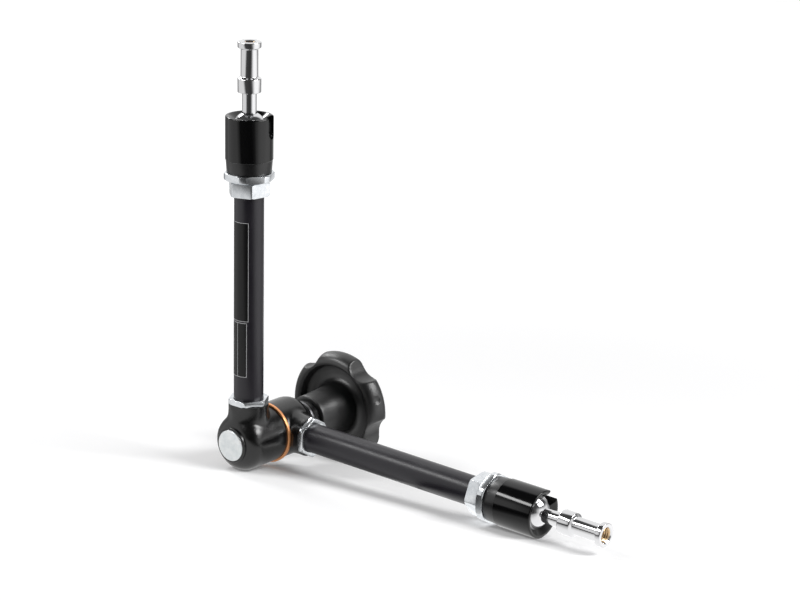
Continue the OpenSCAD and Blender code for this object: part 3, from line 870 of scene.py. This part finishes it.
# %% Ball studs with their threads
THREADS = {
    "a": {"crest_r": 2.55, "root_r": 3.15, "pitch": 1.27, "deep": 12},
    "b": {"crest_r": 4.0, "root_r": 4.75, "pitch": 1.59, "deep": 14},
}
TOOTH_HALF = 0.46
THREAD_STEPS = 32


def make_thread(crest_r, root_r, pitch, deep):
    bm = bmesh.new()
    low = TIP - deep + 0.3
    corners = ((root_r + 0.08, -TOOTH_HALF), (crest_r, 0), (root_r + 0.08, TOOTH_HALF))
    tooth = [bm.verts.new((radius * MM, 0, (low + pitch * (up + 0.5)) * MM)) for radius, up in corners]
    bm.faces.new(tooth)
    turns = (deep - 1.6) / pitch
    steps = int(turns * THREAD_STEPS)
    bmesh.ops.spin(
        bm, geom=bm.verts[:] + bm.edges[:] + bm.faces[:], cent=(0, 0, 0), axis=(0, 0, 1),
        dvec=(0, 0, turns * pitch * MM / steps), angle=turns * 2 * math.pi, steps=steps,
        use_merge=False, use_duplicate=False,
    )
    bmesh.ops.remove_doubles(bm, verts=bm.verts, dist=1e-7)
    return bm


def make_stud(end, thread):
    root_r, deep = thread["root_r"], thread["deep"]
    stud = turned(stud_outline(root_r, deep))
    for face in stud.faces:
        middle = face.calc_center_median() / MM
        if middle.z > TIP - deep - 2 and math.hypot(middle.x, middle.y) < root_r + 0.01:
            face.material_index = 1
    stud.transform(ARM[end])
    dress(stud, f"stud_{end}_turning", "ball_stud_" + end, CHROME, BRASS)
    helix = make_thread(**thread)
    helix.transform(ARM[end])
    dress(helix, f"stud_{end}_thread", "ball_stud_" + end, BRASS, smooth_angle=25)


for end, thread in THREADS.items():
    make_stud(end, thread)

# %% [markdown]
# Each cap is a turned cup that closes over its ball. A slot runs down one side, through which the stud
# can fold right down, and it ends in a half circle as a milling cutter leaves it. The foot is a slimmer
# band with a duller finish, chosen face by face after the cut.

# %% Ball caps
CAP_R = 16
CAP_LEN = 37.7
RIM = BALL_REACH + 9.4
CAP_START = RIM - CAP_LEN
TAPER_END = CAP_START + 8.8
CAVITY_R = BALL_R + 0.15
LIP = 6.6
SLOT = 11
SLOT_TURN = {"a": 24.5, "b": 135}


def cap_outline():
    wall = []
    for degrees in range(90, 56, -3):
        turn = math.radians(degrees)
        wall.append((CAVITY_R * math.sin(turn), BALL_REACH + CAVITY_R * math.cos(turn), 0))
    outside = [(13, CAP_START, 0), (CAP_R - 1, CAP_START, 0.4), (CAP_R - 0.45, TAPER_END - 0.5, 0),
               (CAP_R, TAPER_END, 0), (CAP_R, RIM, 0.8), (CAP_R - 1.9, RIM, 0.3)]
    lip = (math.sqrt(CAVITY_R**2 - LIP**2), BALL_REACH + LIP, 0)
    return outside + [lip] + wall[::-1] + [(CAVITY_R, BALL_REACH - 17, 0), (13, BALL_REACH - 17.5, 0)]


def make_slot_tool():
    tool = bmesh.new()
    half = SLOT / 2
    turns = [math.radians(degrees) for degrees in range(180, 361, 10)]
    arc = [(half * math.cos(turn), half * math.sin(turn)) for turn in turns]
    outline = arc + [(half, 14), (-half, 14)]
    face = tool.faces.new([tool.verts.new((0, y * MM, (BALL_REACH + z) * MM)) for y, z in outline])
    pushed = bmesh.ops.extrude_face_region(tool, geom=[face])
    moved = [item for item in pushed["geom"] if isinstance(item, bmesh.types.BMVert)]
    bmesh.ops.translate(tool, vec=(20 * MM, 0, 0), verts=moved)
    bmesh.ops.recalc_face_normals(tool, faces=tool.faces)
    return tool


def make_cap(end):
    cup = combine(turned(cap_outline(), steps=100, closed=True), make_slot_tool())
    bmesh.ops.remove_doubles(cup, verts=cup.verts, dist=0.02 * MM)
    for face in cup.faces:
        middle = face.calc_center_median() / MM
        if middle.z < TAPER_END and math.hypot(middle.x, middle.y) > 14:
            face.material_index = 1
    cup.transform(ARM[end] @ Matrix.Rotation(math.radians(SLOT_TURN[end]), 4, "Z"))
    dress(cup, f"cap_{end}_cup", "ball_cap_" + end, CAP_BLACK, CAP_FOOT)


for end in "ab":
    make_cap(end)

# %% [markdown]
# On the elbow axis sit plain turnings: the draw bolt with its low domed head, the copper ring between the
# housings, the steel ring and the sleeve behind them, and the plug in the back of the knob. Each is an
# outline with a few small corner radii, which is enough to catch a line of light.

# %% Turnings on the elbow axis
HEAD_FRONT = -19
HEAD_R = 10.7
HEAD_RISE = 0.67
BOLT_R = 4
BOLT_END = HUB_FACE + 28
CONE_BACK = 9.07


def dress_turning(node, name, material, outline, closed=False):
    bm = turned(outline, closed=closed)
    bm.transform(AXLE)
    dress(bm, name, node, material)


def bolt_outline():
    dome = [(HEAD_R * step / 8, HEAD_FRONT + HEAD_RISE * (step / 8) ** 2, 0) for step in range(8)]
    return dome + [
        (HEAD_R, HEAD_FRONT + HEAD_RISE, 0.5), (HEAD_R, -CONE_BACK, 0), (BOLT_R, -CONE_BACK, 0),
        (BOLT_R, BOLT_END, 0.5), (0, BOLT_END, 0),
    ]


dress_turning("tension_bolt", "bolt_turning", BOLT_SATIN, bolt_outline())
dress_turning("friction_ring", "copper_ring", COPPER, [
    (15.05, 17.8, 0), (20.9, 17.8, 0.4), (20.9, 20.2, 0.4), (15.05, 20.2, 0)], closed=True)
dress_turning("guide_ring", "steel_ring", DULL_STEEL, [
    (12.6, 51.5, 0), (13.7, 51.5, 0.3), (13.7, 53.6, 0.5), (12.6, 53.6, 0.2)], closed=True)
dress_turning("thrust_sleeve", "sleeve_turning", SLEEVE_BLACK, [
    (4.3, 42.1, 0), (12.5, 42.1, 0), (12.5, HUB_FACE + 1, 0), (4.3, HUB_FACE + 1, 0)], closed=True)
dress_turning("knob_cap", "knob_plug", KNOB_BLACK, [
    (0, 100, 0), (12.2, 100, 0), (12.2, 102.6, 0.4), (0, 102.6, 0)])

# %% [markdown]
# The nuts and the adaptors keep their CAD shape, which is a hexagon with turned corners. Real ones have
# no perfectly sharp edge, and each edge catches a thin line of light. So they are copied, welded into
# clean meshes and given small bevels. Faces that lie in one plane are joined first, so the bevel meets
# whole edges.

# %% Softened nuts and adaptors
SHARP = math.radians(18)


def soften(node, material, width):
    bm = bmesh.new()
    bm.from_mesh(frame["nodes"][node].data)
    bmesh.ops.remove_doubles(bm, verts=bm.verts, dist=0.02 * MM)
    bmesh.ops.dissolve_limit(
        bm, angle_limit=math.radians(0.5), verts=bm.verts, edges=bm.edges, delimit={"NORMAL"}
    )
    crisp = [edge for edge in bm.edges if len(edge.link_faces) == 2 and edge.calc_face_angle(0) > SHARP]
    bmesh.ops.bevel(
        bm, geom=crisp, offset=width * MM, offset_type="OFFSET", segments=2, profile=0.5,
        affect="EDGES", clamp_overlap=True, material=-1,
    )
    dress(bm, node + "_shell", node, material)


for end in "ab":
    soften("elbow_nut_" + end, BRIGHT_PLATE, 0.2)
    soften("socket_adaptor_" + end, BRIGHT_PLATE, 0.25)
    soften("cap_lock_nut_" + end, BRIGHT_PLATE, 0.25)

# %% [markdown]
# Tube A carries two plain panels in line: glossy dark fields with a thin light border. They could be
# drawn in the finish of the tube, but a real label has an edge that catches light, so each is a strip of
# skin just above the tube. A strip is one upright edge, spun through the angle that it covers, and then
# given a small thickness.

# %% Panel on the upper tube
PANEL_LIFT = 0.06
PANEL_LEFT = -131
BORDER = 0.35


def make_panel_finish(name, colour, roughness, specular=0.5):
    material, _, shader = start_material(name)
    shader.inputs["Base Color"].default_value = (*colour, 1)
    shader.inputs["Roughness"].default_value = roughness
    shader.inputs["Specular IOR Level"].default_value = specular
    return material


PANEL_FIELD = make_panel_finish("panel_gloss_black", (0.0045, 0.0043, 0.0048), 0.26, specular=0.3)
PANEL_LINE = make_panel_finish("panel_silver_line", (0.42, 0.42, 0.43), 0.4)


def add_strip(bm, low, high, right, left, lift):
    """A strip of skin on tube A between two reaches in mm and two angles in degrees."""
    radius = (TUBE_R + lift) * MM
    turn = math.radians(right)
    x, y = radius * math.cos(turn), radius * math.sin(turn)
    foot = [bm.verts.new((x, y, reach * MM)) for reach in (low, high)]
    edge = bm.edges.new(foot)
    bmesh.ops.spin(
        bm, geom=[*foot, edge], cent=(0, 0, 0), axis=(0, 0, 1), angle=math.radians(left - right),
        steps=max(1, round(abs(left - right) / 4)), use_merge=False, use_duplicate=False,
    )


def make_strips(name, material, lift, strips):
    bm = bmesh.new()
    for low, high, right, left in strips:
        add_strip(bm, low, high, right, left, lift)
    bmesh.ops.recalc_face_normals(bm, faces=bm.faces)
    bmesh.ops.solidify(bm, geom=bm.faces[:], thickness=0.05 * MM)
    bm.transform(ARM["a"])
    finish_piece(bm, name, "tube_a", material)


def make_panel(name, low, high, right, left=PANEL_LEFT):
    step = math.degrees(BORDER / TUBE_R)
    make_strips(name + "_field", PANEL_FIELD, PANEL_LIFT, [(low, high, right, left)])
    make_strips(name + "_border", PANEL_LINE, 2 * PANEL_LIFT, [
        (low, high, right, right - step), (low, high, left + step, left),
        (low, low + BORDER, right - step, left + step), (high - BORDER, high, right - step, left + step),
    ])


make_panel("label_long", 86, 154, right=-49)
make_panel("label_short", 47, 85, right=-55)
make_strips("label_short_divider", PANEL_LINE, 2 * PANEL_LIFT, [(47, 85, -94, -95.6)])
print("panels made, with a border of", BORDER, "mm")

# %% [markdown]
# The tubes are plain cylinders, and the cones, spring, rods, cups and thread insert are out of sight
# inside. Their CAD meshes are good enough as they are, so they only get a finish.

# %% Finishes of the CAD pieces that stay as they are
PLAIN_FINISHES = {
    "tube_a": TUBE_BLACK, "tube_b": TUBE_BLACK, "wedge_cone_a": STEEL, "wedge_cone_b": STEEL,
    "release_spring": STEEL, "knob_insert": BRASS, "push_rod_a": STEEL, "push_rod_b": STEEL,
    "pressure_cup_a": BRASS, "pressure_cup_b": BRASS,
}
for node, material in PLAIN_FINISHES.items():
    mesh = frame["nodes"][node].data
    mesh.materials.clear()
    mesh.materials.append(material)
print("plain CAD pieces with a finish:", len(PLAIN_FINISHES))
